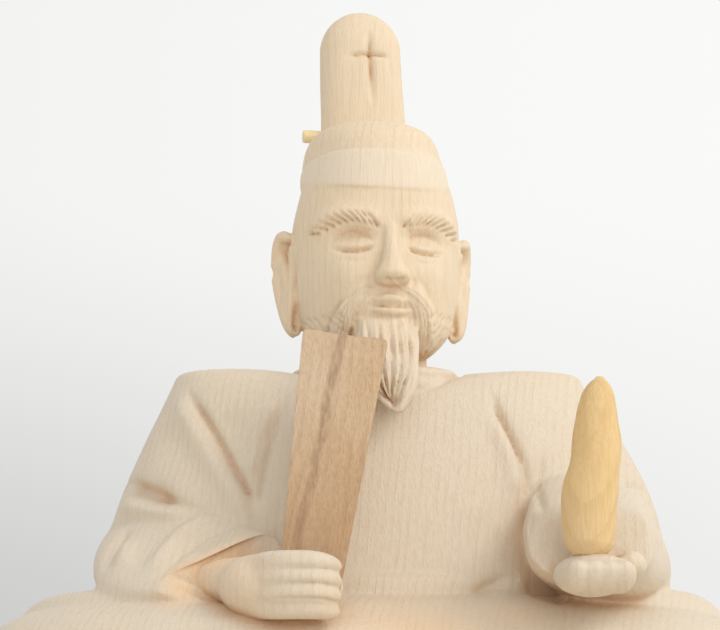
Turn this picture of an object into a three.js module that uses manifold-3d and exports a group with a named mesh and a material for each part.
// A seated deity figurine in court dress, carved in pale wood, on a low plinth.
// Millimetres, +Z up. The figure faces -Y. The origin is at the centre of the plinth's underside.
//
// The carved figure is drawn on its own grid: every number in a form's table is a share of the
// figure's height, in hundredths, measured from the point on the plinth that it sits on.

import * as THREE from "three";
import { mergeVertices } from "three/addons/utils/BufferGeometryUtils.js";
import Module from "manifold-3d";

const wasm = await Module();
wasm.setup();

// Driving dimensions

const figureHeight = 100; // from the plinth to the top of the tall crest of the cap
const seatBack = 5; // the figure's middle sits this far behind the middle of the plinth

const plinthHeight = 7;
const plinthSideMargin = 3.8; // beside the knees
const plinthEndMargin = 8; // before and behind the skirt, shared between the two
const plinthCorner = 9;
const plinthChamfer = 1.2;

const restGap = 0.1; // between two pieces where one stands on the other
const fitGap = 0.3; // round a piece that is let into the figure

const batonTopWidth = 9.8;
const batonFootWidth = 6.4;
const batonThickness = 1.7;
const batonLength = 31;
const batonCorner = 1.4;
const batonCrown = 0.25; // how much the top edge rises in its middle

const pinDiameter = 1.7;
const pinStandOut = 2.7; // on each side of the crest

const budHeight = 19.4;
const budWidth = 5.8;
const budSpiral = 0.07; // share of the radius that the spiral swelling adds

// The figure's grid

const unit = figureHeight / 100;
const headTurn = THREE.MathUtils.degToRad(3); // towards the figure's left
const headAxisY = 0.5;

const vec = (x, y, z) => new THREE.Vector3(x, y, z);

function turnHead(point) {
  const x = point.x;
  const y = point.y - headAxisY;
  point.x = x * Math.cos(headTurn) - y * Math.sin(headTurn);
  point.y = x * Math.sin(headTurn) + y * Math.cos(headTurn) + headAxisY;
  return point;
}

const turned = (points) => points.map(turnHead);

const smoothstep = THREE.MathUtils.smoothstep;
const degrees = THREE.MathUtils.degToRad;
const bump = (distance, reach) => Math.exp(-((distance / reach) ** 2));

// Solids

function solidOf(geometry) {
  geometry.deleteAttribute("normal");
  geometry.deleteAttribute("uv");
  const merged = mergeVertices(geometry, 1e-4);
  return new wasm.Manifold(
    new wasm.Mesh({
      numProp: 3,
      vertProperties: merged.attributes.position.array,
      triVerts: new Uint32Array(merged.index.array),
    }),
  );
}

function geometryOf(solid) {
  const mesh = solid.getMesh();
  const geometry = new THREE.BufferGeometry();
  geometry.setAttribute("position", new THREE.BufferAttribute(mesh.vertProperties, 3));
  geometry.setIndex(new THREE.BufferAttribute(mesh.triVerts, 1));
  geometry.computeVertexNormals();
  return geometry;
}

const joined = (solids) => solids.reduce((whole, solid) => whole.add(solid));
const carved = (solid, cutters) => cutters.reduce((whole, cutter) => whole.subtract(cutter), solid);

function moved(geometry, move) {
  const position = geometry.getAttribute("position");
  const point = new THREE.Vector3();
  for (let i = 0; i < position.count; i++) {
    point.fromBufferAttribute(position, i);
    const to = move(point);
    position.setXYZ(i, to.x, to.y, to.z);
  }
  return geometry;
}

const power = (value, exponent) => Math.sign(value) * Math.abs(value) ** exponent;

// A skin through a row of rings, as a function that gives the place at a share of the way along
// it, an angle round the ring and a share of the ring's radius. Each ring has a centre, two half
// axes, U and V, and a squareness: 2 is an ellipse, and more is fuller at the corners.
function skinThrough(stations) {
  const track = (key) =>
    new THREE.CatmullRomCurve3(stations.map((station) => station[key]), false, "catmullrom", 0.5);
  const [centres, us, vs] = ["centre", "u", "v"].map(track);
  const squareness = (t) => {
    const place = t * (stations.length - 1);
    const before = Math.min(Math.floor(place), stations.length - 2);
    const value = (i) => stations[i].squareness ?? 2;
    return THREE.MathUtils.lerp(value(before), value(before + 1), place - before);
  };
  return (t, angle, share = 1) => {
    const bow = 2 / squareness(t);
    return centres
      .getPoint(t)
      .addScaledVector(us.getPoint(t), share * power(Math.cos(angle), bow))
      .addScaledVector(vs.getPoint(t), share * power(Math.sin(angle), bow));
  };
}

// The closed solid inside such a skin. refine may then move a point, and gets the point, its
// share of the way along and its angle.
function loft(stations, { sides, rings, refine = (point) => point }) {
  const place = skinThrough(stations);
  const skin = new THREE.CylinderGeometry(1, 1, 1, sides, rings);
  return solidOf(
    moved(skin, (p) => {
      const t = p.y + 0.5;
      const angle = Math.atan2(-p.z, p.x);
      return refine(place(t, angle, Math.hypot(p.x, p.z)), t, angle).multiplyScalar(unit);
    }),
  );
}

// Level rings one above the other, each given by its height, half width, half depth, middle from
// front to back, squareness and middle across.
function stack(levels, options) {
  const stations = levels.map(([z, halfWidth, halfDepth, y = 0, squareness = 2, x = 0]) => ({
    centre: vec(x, y, z),
    u: vec(halfWidth, 0, 0),
    v: vec(0, halfDepth, 0),
    squareness,
  }));
  return loft(stations, options);
}

// A round limb, lock of hair, ridge or cutter along a curve, with a radius at each point and
// rounded ends.
function strand(points, radii, { sides = 6, rings = 6, flatten = 1 } = {}) {
  const path = new THREE.CatmullRomCurve3(points);
  const width = new THREE.CatmullRomCurve3(radii.map((r, i) => vec(r, i, 0)));
  const skin = new THREE.CylinderGeometry(1, 1, 1, sides, rings);
  const tip = 0.02;
  return solidOf(
    moved(skin, (p) => {
      const t = (1 - Math.cos((p.y + 0.5) * Math.PI)) / 2;
      const along = path.getTangent(t);
      const side = along.clone().cross(vec(0, 0, 1)).normalize();
      const over = side.clone().cross(along);
      const radius = width.getPoint(t).x * Math.sqrt(Math.max(tip, 1 - (2 * t - 1) ** 6));
      return path
        .getPoint(t)
        .addScaledVector(side, p.x * radius)
        .addScaledVector(over, p.z * radius * flatten)
        .multiplyScalar(unit);
    }),
  );
}

function ball(centre, radii, sides = 8) {
  const skin = new THREE.SphereGeometry(1, sides, Math.round(sides * 0.7));
  return solidOf(
    moved(skin, (p) =>
      vec(p.x * radii.x, -p.z * radii.y, p.y * radii.z).add(centre).multiplyScalar(unit),
    ),
  );
}

// The lap: crossed legs under a full skirt

const lapHalfWidth = 47.2;
const lapHalfDepth = 26;
const lapMiddle = -3;

const lapLevels = [
  [0, lapHalfWidth - 2.7, lapHalfDepth - 2, lapMiddle + 0.5, 2.7],
  [5, lapHalfWidth, lapHalfDepth, lapMiddle, 2.7],
  [11, lapHalfWidth, lapHalfDepth, lapMiddle, 2.6],
  [16, 45.8, 24.6, lapMiddle, 2.5],
  [19.4, 42, 22, -2.5, 2.4],
  [21.4, 34, 18, -2, 2.3],
  [22.6, 20, 10, -1, 2],
];

// The skirt hangs back between the knees.
const lapHollow = 2.4;

function drapeLap(point) {
  const front = smoothstep(-point.y, 8, 26);
  point.y += lapHollow * front * bump(point.x, 15);
  return point;
}

const lap = () => stack(lapLevels, { sides: 32, rings: 6, refine: drapeLap });

// The robe's upper body, from the hips to the flat shoulders

const bodyLevels = [
  [17, 32, 17.5, 2.5, 2.3, 1],
  [22.5, 34.6, 18, 2, 2.3, 1.4],
  [28.5, 33.9, 16.8, 2, 2.4, 1.8],
  [34.5, 32.4, 15.4, 2, 2.4, 2],
  [40.5, 29.8, 13.8, 2.2, 2.5, 1.8],
  [45.5, 26.8, 12.2, 2.4, 2.8, 1],
  [47.9, 25.6, 11, 2.6, 3, 0.8],
  [49.2, 24.7, 9.2, 3, 3.1, 0.8],
  [49.8, 23, 6.8, 3.6, 3.1, 0.8],
];

const shoulderTilt = 0.016; // the figure's left shoulder stands a little higher

const neckDip = 2.6; // how far the robe's top sinks under the collar in front

function body() {
  return stack(bodyLevels, {
    sides: 30,
    rings: 8,
    refine: (point, t) => {
      const high = smoothstep(t, 0.4, 1);
      const dip = neckDip * bump(point.x, 10) * smoothstep(-point.y, -5, 2);
      point.z += high * (shoulderTilt * point.x - dip);
      return point;
    },
  });
}

// Where a stack's surface stands at a place given across and up: its front, or its back where
// facing is 1.
function surfaceOf(levels, x, z, facing = -1) {
  const above = levels.findIndex((level) => level[0] >= z);
  const upper = levels[above];
  const lower = levels[above - 1];
  const share = (z - lower[0]) / (upper[0] - lower[0]);
  const [, halfWidth, halfDepth, middle, squareness, middleX = 0] = lower.map((value, i) =>
    THREE.MathUtils.lerp(value, upper[i], share),
  );
  const across = Math.min(1, Math.abs(x - middleX) / halfWidth);
  return middle + facing * halfDepth * (1 - across ** squareness) ** (1 / squareness);
}

// A line on the robe's front or back through places given across and up, inside it by a depth.
const onRobe = (places, depth = 0, facing = -1) =>
  places.map(([x, z]) => vec(x, surfaceOf(bodyLevels, x, z, facing) - facing * depth, z));

// The sleeves

// Each is a wide bag, from the upper arm to a mouth that hangs open round the wrist.
const rightSleeve = [
  { centre: vec(-24.5, 2, 34), u: vec(6, 0, 2), v: vec(0, 9, 4) },
  { centre: vec(-26, -3, 28.6), u: vec(7.2, 0, 1.4), v: vec(1, 9, 6) },
  { centre: vec(-24.6, -10, 25.8), u: vec(8.2, 1.4, 1.8), v: vec(0, 5, 6.6) },
  { centre: vec(-21.8, -16, 24), u: vec(7.4, 1, 2.4), v: vec(0, 2.6, 4.9) },
  { centre: vec(-20.2, -19, 23.4), u: vec(6.8, 0.6, 2.3), v: vec(0.6, 1.6, 4.1) },
];

const leftSleeve = [
  { centre: vec(25.5, 2, 34), u: vec(6, 0, -2), v: vec(0, 9, 4) },
  { centre: vec(26.6, -4, 29), u: vec(7.6, 0, -1), v: vec(-1, 8, 6.6) },
  { centre: vec(24, -13, 27.2), u: vec(8, -1, -0.6), v: vec(0, 3, 6.4) },
  { centre: vec(20.6, -22, 27), u: vec(7.2, -0.6, 0), v: vec(0, 1.6, 5.3) },
  { centre: vec(19.2, -27.6, 26.2), u: vec(6.7, -0.4, 0), v: vec(0, 1, 4.7) },
];

const sleeve = (rings) => loft(rings, { sides: 14, rings: 7 });

// The hollow of a sleeve's mouth: a shallow cutter that narrows as it goes in, and leaves a thin lip.
function mouth(rings, depth) {
  const [inner, end] = rings.slice(-2);
  const reach = end.centre.clone().sub(inner.centre).normalize();
  const slice = (forward, share) => ({
    centre: end.centre.clone().addScaledVector(reach, forward),
    u: end.u.clone().multiplyScalar(share),
    v: end.v.clone().multiplyScalar(share),
  });
  return loft([slice(-depth, 0.66), slice(-depth / 2, 0.78), slice(1.5, 0.86)], { sides: 10, rings: 2 });
}

// The lower corner of each sleeve lies over the thigh and runs out to the side.
const sleeveTail = (side, raise) =>
  strand(
    [
      vec(side * 20, -17, 19.4),
      vec(side * 30, -13, 19.6 + raise),
      vec(side * 38, -4, 18.6 + raise),
      vec(side * 38, 8, 16),
    ],
    [2.2, 3.2, 3.6, 2],
    { sides: 8, rings: 5 },
  );

// Folds: creases cut with a gouge, and soft ridges left standing beside them

const fine = { sides: 4, rings: 4 };
const broad = { sides: 4, rings: 3 };
const evenly = (points, radius) => points.map(() => radius);

function crease(places, radius, depth = 0) {
  const path = onRobe(places, depth);
  return strand(path, evenly(path, radius), fine);
}

const chestCreases = () => [
  crease([[-23, 45.4], [-20.6, 40], [-17, 32.4]], 0.8),
  crease([[-12.6, 45], [-14.4, 40], [-16.2, 31.6]], 0.7),
  crease([[12.8, 45], [14.8, 39.6], [16.2, 32.6]], 0.8),
  crease([[21, 40], [19.6, 36.6], [17.6, 33]], 0.7),
  strand(onRobe([[-30.6, 35.6], [-27.6, 35], [-23.4, 32.4], [-17, 30.8]], 0.3), [1, 1.6, 1.1, 0.6]),
  crease([[33, 36.4], [28.6, 35.2], [24, 33.2]], 0.8),
];

const chestRidges = () => [
  strand(onRobe([[-24.2, 44], [-21.8, 38.8], [-18.4, 32.6]], 0.9), [1, 1.5, 1.2], fine),
  strand(onRobe([[14, 42.4], [16, 38], [17, 33.4]], 0.9), [1, 1.4, 1.1], fine),
  strand(onRobe([[-31, 33], [-25.4, 31.2], [-19, 29.6]], 0.7), [1, 1.3, 1], fine),
];

// Grooves that fan out over a sleeve from the crook of the elbow, each through places given by
// their share of the way along the sleeve and their angle round it.
function sleeveCreases(rings, lines) {
  const place = skinThrough(rings);
  return lines.map((line) =>
    strand(line.map(([t, angle]) => place(t, degrees(angle), 1.01)), [0.5, 0.8, 0.5], broad),
  );
}

const rightSleeveLines = [
  [[0.56, 70], [0.5, 125], [0.36, 185]],
  [[0.7, 75], [0.66, 125], [0.56, 180]],
  [[0.83, 85], [0.81, 125], [0.76, 165]],
];

const leftSleeveLines = [
  [[0.52, 110], [0.46, 60], [0.34, 5]],
  [[0.68, 105], [0.64, 60], [0.56, 15]],
];

// A crease over each knee, by its share of the lap's height and its angle round it.
const kneeLine = [[0.18, -60], [0.4, -48], [0.6, -32]];

function kneeCreases() {
  const ring = ([z, halfWidth, halfDepth, middle, squareness]) => ({
    centre: vec(0, middle, z),
    u: vec(halfWidth, 0, 0),
    v: vec(0, halfDepth, 0),
    squareness,
  });
  const place = skinThrough(lapLevels.map(ring));
  const path = kneeLine.map(([t, angle]) => place(t, degrees(angle)));
  return [1, -1].map((side) =>
    strand(path.map(({ x, y, z }) => vec(side * x, y, z)), [0.7, 1.2, 0.7], broad),
  );
}

const backCreases = () =>
  [-1, 1].map((side) =>
    strand(onRobe([[side * 6, 43], [side * 8.6, 35], [side * 13, 27]], 0, 1), [0.6, 0.9, 0.6], broad),
  );

// The belt under the chest, and the panel that hangs from it over the crossed legs

const belt = () =>
  stack(
    [
      [20.2, 18, 19, 2, 2.4],
      [21, 18.6, 19.6, 2, 2.4],
      [23.2, 18.4, 19.2, 2, 2.4],
      [24, 17.6, 18.4, 2, 2.4],
    ],
    { sides: 24, rings: 3 },
  );

const panelHalfWidth = 5.2;
const panelHalfThickness = 2.2;

function panel() {
  const ring = ([y, z]) => ({
    centre: vec(1.4, y, z),
    u: vec(panelHalfWidth, 0, 0),
    v: vec(0, panelHalfThickness, panelHalfThickness * 0.4),
    squareness: 6,
  });
  const rings = [[-24.8, 1.4], [-26.2, 8], [-24.6, 14.6], [-20.2, 19.2], [-15, 21]].map(ring);
  return loft(rings, { sides: 12, rings: 5 });
}

// The raised round collar, lower in front than behind, and the neck inside it.
const collarSlope = 0.08;

const collar = () =>
  stack(
    [
      [45.6, 9.8, 9.4, 0.4],
      [46.4, 10.7, 10.4, 0.4],
      [49.3, 10.5, 10.1, 0.4],
      [50, 9.7, 9.2, 0.4],
    ],
    {
      sides: 20,
      rings: 3,
      refine: (point) => {
        point.z += collarSlope * point.y;
        return point;
      },
    },
  );

const neck = () => stack([[44, 7, 7, 1.5], [55, 6.4, 6.6, 1.5]], { sides: 8, rings: 1 });

// The hands

const fingerPitch = 1.58;
const fingerSpread = 1.75;

// The right hand is a fist round the baton's foot.
function rightHand() {
  const fingers = [0, 1, 2, 3].map((i) => {
    const z = 24.3 - i * fingerPitch;
    const tucked = [0, 0, 0.2, 1.3][i];
    return strand(
      [
        vec(-17.4, -22.6 + tucked, z),
        vec(-14.4, -26.8 + tucked, z + 0.1),
        vec(-10.4, -27.9 + tucked, z),
        vec(-7.2, -26.2 + tucked, z - 0.4),
      ],
      [1, 1.08, 1.05, 0.9],
      { rings: 3 },
    );
  });
  const back = ball(vec(-15.8, -22.6, 21.9), vec(3.9, 3.9, 3.4));
  const palm = ball(vec(-12, -23.6, 21.8), vec(5, 3.4, 3.1));
  const thumb = strand(
    [vec(-16.6, -20.6, 23.4), vec(-12.2, -21, 25), vec(-7.8, -21.8, 24.8)],
    [1.5, 1.3, 1.1],
    { rings: 3 },
  );
  const wrist = strand(
    [vec(-24, -14, 21.8), vec(-19.6, -19.4, 22), vec(-15.6, -22.2, 21.8)],
    [2.6, 3.1, 3.1],
    { rings: 2 },
  );
  return joined([...fingers, back, palm, thumb, wrist]);
}

// The left hand lies palm up with its fingers forward, and the bud stands on it.
function leftHand() {
  const fingers = [0, 1, 2, 3].map((i) => {
    const x = 15.1 + i * fingerSpread;
    return strand(
      [vec(x, -29, 22.4), vec(x, -33.4, 22), vec(x, -35.4, 23), vec(x, -35.3, 24.4)],
      [1.2, 1.25, 1.15, 0.85],
      { rings: 3 },
    );
  });
  const palm = ball(vec(18, -30.6, 22.7), vec(4.6, 4.6, 2));
  const thumb = strand(
    [vec(22.4, -26.8, 23.6), vec(23, -30.2, 24.4), vec(21.8, -33, 25.2)],
    [1.8, 1.5, 1.1],
    { rings: 3 },
  );
  const wrist = strand([vec(20.8, -19, 26), vec(19.8, -25, 25), vec(18.6, -29, 23.4)], [3, 2.9, 2.5], {
    rings: 2,
  });
  return joined([...fingers, palm, thumb, wrist]);
}

// The head

// Height, half width, how far the face stands forward, and how far the skull stands back.
const headLevels = [
  [50.6, 3.4, 6, 2.6],
  [51.4, 6, 9, 5.8],
  [54, 8.6, 9.9, 7.6],
  [57.6, 9.7, 10, 8.6],
  [61.5, 10.2, 10, 9.6],
  [65.5, 10.4, 9.9, 10.2],
  [68.2, 10.3, 10, 9.9],
  [70.8, 9.8, 9.9, 9.4],
  [73.4, 9.05, 9.1, 8.7],
  [77, 6.6, 6.6, 7],
];

const browHeight = 66.4;
const eyeHeight = 63.8;
const eyeSpacing = 4.3;
const noseFootHeight = 58.6;
const mouthHeight = 56.2;

// How far the face's features stand in front of the plain skull at a place across and up.
function faceRelief(x, z) {
  const side = Math.abs(x);
  const socket = 0.95 * bump(side - eyeSpacing, 2.5) * bump(z - eyeHeight - 1, 1.4);
  const lid = 0.4 * bump(side - eyeSpacing, 1.9) * bump(z - eyeHeight + 0.2, 0.9);
  const cheek = 0.6 * bump(side - 5.6, 2.8) * bump(z - 60, 2.6);
  const brow = 0.45 * bump(side - 4.4, 4) * bump(z - browHeight - 0.3, 1.2);
  const muzzle = 0.9 * bump(x, 3.4) * bump(z - mouthHeight, 2.2);
  const chin = 0.9 * bump(x, 3) * bump(z - 52.4, 1.3);
  return lid + cheek + brow + muzzle + chin - socket;
}

const skullLevels = headLevels.map(([z, halfWidth, front, back]) => [
  z,
  halfWidth,
  (front + back) / 2,
  (back - front) / 2,
  2.2,
]);

const skull = () =>
  stack(skullLevels, {
    sides: 28,
    rings: 16,
    refine: (point, t, angle) => {
      const front = smoothstep(-Math.sin(angle), 0.2, 0.7);
      point.y -= front * faceRelief(point.x, point.z);
      return turnHead(point);
    },
  });

const onFace = (x, z, proud = 0) =>
  turnHead(vec(x, surfaceOf(skullLevels, x, z) - faceRelief(x, z) - proud, z));

// From the nostrils up to the bridge: how far forward, how far up, half width and half depth.
function nose() {
  const levels = [
    [-10.2, noseFootHeight - 0.4, 0.8, 0.8],
    [-10.6, noseFootHeight, 1.9, 1.6],
    [-11, noseFootHeight + 1, 2.1, 2],
    [-10.6, 61.4, 1.3, 1.5],
    [-9.8, eyeHeight + 0.2, 0.95, 1.1],
    [-9.4, browHeight + 0.2, 0.9, 0.7],
  ];
  return stack(
    levels.map(([y, z, halfWidth, halfDepth]) => [z, halfWidth, halfDepth, y]),
    { sides: 8, rings: 5, refine: turnHead },
  );
}

function lips() {
  const lip = (z, crown, radius) =>
    strand([onFace(-2.4, z), onFace(0, z + crown), onFace(2.4, z)], [0.4, radius, 0.4], fine);
  return lip(mouthHeight + 0.2, 0.4, 0.6).add(lip(mouthHeight - 0.8, -0.2, 0.65));
}

const eyelidCut = (side) =>
  strand(
    [
      onFace(side * 2.4, eyeHeight - 0.6),
      onFace(side * 4.3, eyeHeight),
      onFace(side * 6.6, eyeHeight - 0.5),
    ],
    [0.28, 0.4, 0.28],
    fine,
  );

// Long ears: a rim that curls round the top and runs down into a full lobe, on a plate.
function ear(side) {
  const rim = strand(
    turned([
      vec(side * 10.2, 0.2, 61.4),
      vec(side * 11.5, -0.6, 66),
      vec(side * 12.3, 2.2, 66.6),
      vec(side * 12.1, 3.1, 62.4),
      vec(side * 11.3, 1.7, 58.4),
      vec(side * 10.4, 0.4, 54.8),
    ]),
    [0.85, 0.9, 0.9, 1, 1.3, 1.3],
    { sides: 5, rings: 7 },
  );
  const plate = strand(
    turned([vec(side * 10.2, 1.2, 65.4), vec(side * 10.8, 1.4, 61.6), vec(side * 10.1, 0.9, 55.6)]),
    [1.3, 1.6, 1.4],
    { rings: 3 },
  );
  return rim.add(plate);
}

// The moustache falls round the mouth on both sides, into a long paddle of a beard.
const moustache = (side) =>
  strand(
    turned([
      vec(side * 0.5 - 0.3, -11.4, 58),
      vec(side * 3.3 - 0.3, -10.9, 57.4),
      vec(side * 4.7 - 0.4, -10, 55),
      vec(side * 4.4 - 0.4, -10.2, 52.4),
      vec(side * 3.4 - 0.4, -11, 50),
    ]),
    [0.55, 0.9, 0.95, 0.85, 0.5],
    { sides: 5, rings: 5 },
  );

const beardX = -0.5;
const beardLocks = 5;

const beardLevels = [
  [42.6, 0.8, 0.7, -14.4],
  [43.8, 2, 1.4, -13.9],
  [46, 3, 2, -13.1],
  [49, 3.3, 2.4, -11.8],
  [52, 3.8, 2.6, -9.8],
  [54.4, 3.6, 1.6, -9],
];

function beard() {
  return stack(
    beardLevels.map(([z, halfWidth, halfDepth, y]) => [z, halfWidth, halfDepth, y, 2.3, beardX]),
    {
      sides: 16,
      rings: 6,
      refine: (point, t, angle) => {
        const front = Math.max(0, -Math.sin(angle));
        const locks = Math.cos((point.x - beardX) * beardLocks * 0.6);
        point.y += 0.3 * front * locks * (1 - smoothstep(t, 0.75, 1));
        return turnHead(point);
      },
    },
  );
}

// The cap and its crest

const brimFront = 70.6;
const brimSlope = 0.3; // how fast the brim rises from the front to the ears
const bandTop = 75.6;

function cap() {
  const levels = [
    [brimFront, 9.1, 10.1, 0.1, 2.4, -0.2],
    [brimFront + 0.4, 9.2, 10.2, 0.1, 2.4, -0.2],
    [bandTop, 9, 10, 0.2, 2.3, -0.3],
    [bandTop + 0.4, 8.7, 9.7, 0.2, 2.2, -0.4],
    [78.4, 8.15, 9.2, 0.4, 2.2, -0.5],
    [80, 6.9, 7.8, 0.6, 2.1, -0.5],
    [80.8, 3.6, 4.4, 0.8, 2, -0.4],
  ];
  return stack(levels, {
    sides: 24,
    rings: 6,
    refine: (point) => {
      const low = 1 - smoothstep(point.z, brimFront, bandTop);
      const forward = 1 - smoothstep(point.y, 2, 10);
      point.z += brimSlope * low * forward * Math.min(11, Math.max(0, point.y + 10.2));
      return turnHead(point);
    },
  });
}

const crestY = 8;
const crestHalfWidth = 5.35;
const crestLean = -0.45; // to the side, at the foot of its rounded top
const crestHalfDepth = 3.3;
const crestTop = 100;
const domeSteps = [0.22, 0.44, 0.66, 0.86];

function crest() {
  const shoulder = crestTop - crestHalfWidth;
  const sides = [
    [71.6, crestHalfWidth - 0.1, crestHalfDepth - 0.3, 0],
    [72.4, crestHalfWidth + 0.4, crestHalfDepth, 0],
    [79, crestHalfWidth + 0.4, crestHalfDepth + 0.2, 0],
    [84, crestHalfWidth + 0.25, crestHalfDepth, 0],
    [shoulder, crestHalfWidth, crestHalfDepth, crestLean],
  ];
  const dome = domeSteps.map((step) => {
    const turn = (step * Math.PI) / 2;
    const narrowing = Math.cos(turn);
    return [
      shoulder + crestHalfWidth * Math.sin(turn),
      crestHalfWidth * narrowing,
      crestHalfDepth * narrowing ** 0.6,
      crestLean,
    ];
  });
  const top = [crestTop, 0.4, 0.3, crestLean];
  return stack(
    [...sides, ...dome, top].map(([z, halfWidth, halfDepth, x]) => [z, halfWidth, halfDepth, crestY, 2.5, x]),
    { sides: 18, rings: 9, refine: turnHead },
  );
}

// Two crossing strokes cut in the crest's front, where its cords cross.
function crestStrokes() {
  const front = crestY - crestHalfDepth;
  const stroke = (points, radii) => strand(turned(points), radii, { sides: 4, rings: 4 });
  return [
    stroke([vec(0, front + 0.3, 96.4), vec(0, front, 92), vec(0, front, 87.2)], [0.4, 0.55, 0.3]),
    stroke(
      [vec(-2.6, front + 0.3, 93.2), vec(0, front, 93.2), vec(2.4, front + 0.3, 93.2)],
      [0.35, 0.5, 0.35],
    ),
  ];
}

// The pin goes through the crest's foot, from side to side, and stands out at both ends.

const pinHeight = 82.6;

function pin(gap) {
  const radius = pinDiameter / 2 + gap;
  const length = 2 * (crestHalfWidth * unit + pinStandOut + gap);
  const rod = new THREE.CylinderGeometry(radius, radius, length, 12);
  rod.rotateZ(Math.PI / 2).rotateZ(headTurn);
  const middle = turnHead(vec(0, crestY, pinHeight)).multiplyScalar(unit);
  return solidOf(rod.translate(middle.x, middle.y, middle.z));
}

// The flat baton in the right hand: widest at the top, with rounded upper corners

const batonFoot = vec(-10.5, -24.7, 21.4);
const batonHead = vec(-5.75, -16.9, 50.6);
const batonTwist = vec(1, -0.08, 0); // the way its width runs

function baton(gap) {
  const top = batonTopWidth / 2 + gap;
  const foot = batonFootWidth / 2 + gap;
  const high = batonLength + gap;
  const outline = new THREE.Shape();
  outline.moveTo(-foot, -gap);
  outline.lineTo(foot, -gap);
  outline.lineTo(top, high - batonCorner);
  outline.quadraticCurveTo(top, high, top - batonCorner, high);
  outline.quadraticCurveTo(0, high + 2 * batonCrown, batonCorner - top, high);
  outline.quadraticCurveTo(-top, high, -top, high - batonCorner);
  const depth = batonThickness + 2 * gap;
  const board = new THREE.ExtrudeGeometry(outline, { depth, bevelEnabled: false, curveSegments: 5 });
  board.translate(0, 0, -depth / 2);
  const along = batonHead.clone().sub(batonFoot).normalize();
  const across = batonTwist.clone().addScaledVector(along, -along.dot(batonTwist)).normalize();
  const place = new THREE.Matrix4().makeBasis(across, along, across.clone().cross(along));
  place.setPosition(batonFoot.clone().multiplyScalar(unit));
  return solidOf(board.applyMatrix4(place));
}

// The bud in the left hand: an upright spindle with a shallow spiral swelling

const budFoot = vec(17.6, -32.2, 24.6);
const budLean = vec(0.1, 0.06, 1).normalize();
const spiralTurns = 1.6;

// Height, as a share of the bud's own, and radius, as a share of its greatest.
const budProfile = [
  [0, 0],
  [0, 0.62],
  [0.06, 0.86],
  [0.16, 0.98],
  [0.26, 1],
  [0.4, 0.98],
  [0.54, 0.92],
  [0.68, 0.85],
  [0.8, 0.76],
  [0.9, 0.6],
  [0.97, 0.34],
  [1, 0],
];

function bud(gap) {
  const points = budProfile.map(
    ([height, share]) => new THREE.Vector2((share * budWidth) / 2, height * budHeight),
  );
  const skin = moved(new THREE.LatheGeometry(points, 14), (p) => {
    const share = p.y / budHeight;
    const angle = Math.atan2(p.z, p.x);
    const twist = Math.sin(angle + share * spiralTurns * 2 * Math.PI);
    const grown = 1 + budSpiral * twist * Math.sin(share * Math.PI) + (gap * 2) / budWidth;
    return vec(p.x * grown, p.y - gap, p.z * grown);
  });
  const turn = new THREE.Quaternion().setFromUnitVectors(vec(0, 1, 0), budLean);
  const place = new THREE.Matrix4().makeRotationFromQuaternion(turn);
  place.setPosition(budFoot.clone().multiplyScalar(unit));
  return solidOf(skin.applyMatrix4(place));
}

// The plinth

function plinth() {
  const halfWidth = lapHalfWidth * unit + plinthSideMargin - plinthChamfer;
  const halfDepth = lapHalfDepth * unit + plinthEndMargin - plinthChamfer;
  const corner = plinthCorner - plinthChamfer;
  const [right, back] = [halfWidth - corner, halfDepth - corner];
  const outline = new THREE.Shape();
  outline.moveTo(-right, -halfDepth);
  outline.absarc(right, -back, corner, -Math.PI / 2, 0);
  outline.absarc(right, back, corner, 0, Math.PI / 2);
  outline.absarc(-right, back, corner, Math.PI / 2, Math.PI);
  outline.absarc(-right, -back, corner, Math.PI, Math.PI * 1.5);
  const slab = new THREE.ExtrudeGeometry(outline, {
    depth: plinthHeight - 2 * plinthChamfer,
    bevelThickness: plinthChamfer,
    bevelSize: plinthChamfer,
    bevelSegments: 1,
    curveSegments: 4,
  });
  return slab.translate(0, 0, plinthChamfer);
}

// Assembly

function figure() {
  const robe = joined([
    lap(),
    body(),
    sleeve(rightSleeve),
    sleeve(leftSleeve),
    sleeveTail(-1, 0),
    sleeveTail(1, 0.2),
    belt(),
    panel(),
    collar(),
    ...chestRidges(),
  ]);
  const carvedRobe = carved(robe, [
    mouth(rightSleeve, 2.4),
    mouth(leftSleeve, 1.2),
    ...chestCreases(),
    ...sleeveCreases(rightSleeve, rightSleeveLines),
    ...sleeveCreases(leftSleeve, leftSleeveLines),
    ...kneeCreases(),
    ...backCreases(),
  ]);
  const head = joined([
    neck(),
    skull(),
    nose(),
    lips(),
    ear(-1),
    ear(1),
    moustache(-1),
    moustache(1),
    beard(),
    cap(),
    crest(),
  ]);
  const carvedHead = carved(head, [eyelidCut(-1), eyelidCut(1), ...crestStrokes()]);
  const whole = joined([carvedRobe, rightHand(), leftHand(), carvedHead]);
  return carved(whole, [pin(fitGap), baton(fitGap), bud(fitGap)]);
}

function piece(name, geometry, colour, roughness) {
  const material = new THREE.MeshStandardMaterial({ color: colour, roughness, metalness: 0 });
  const mesh = new THREE.Mesh(geometry, material);
  mesh.name = name;
  return mesh;
}

const seated = new THREE.Group();
seated.position.set(0, seatBack, plinthHeight + restGap);
seated.add(
  piece("figure", geometryOf(figure()), 0xe6d2b6, 0.62),
  piece("hairpin", geometryOf(pin(0)), 0xefd9a0, 0.55),
  piece("baton", geometryOf(baton(0)), 0xc9a67c, 0.6),
  piece("bud", geometryOf(bud(0)), 0xdcba7e, 0.55),
);

const figurine = new THREE.Group();
figurine.add(seated, piece("plinth", plinth(), 0xdcc6a6, 0.65));

export default figurine;
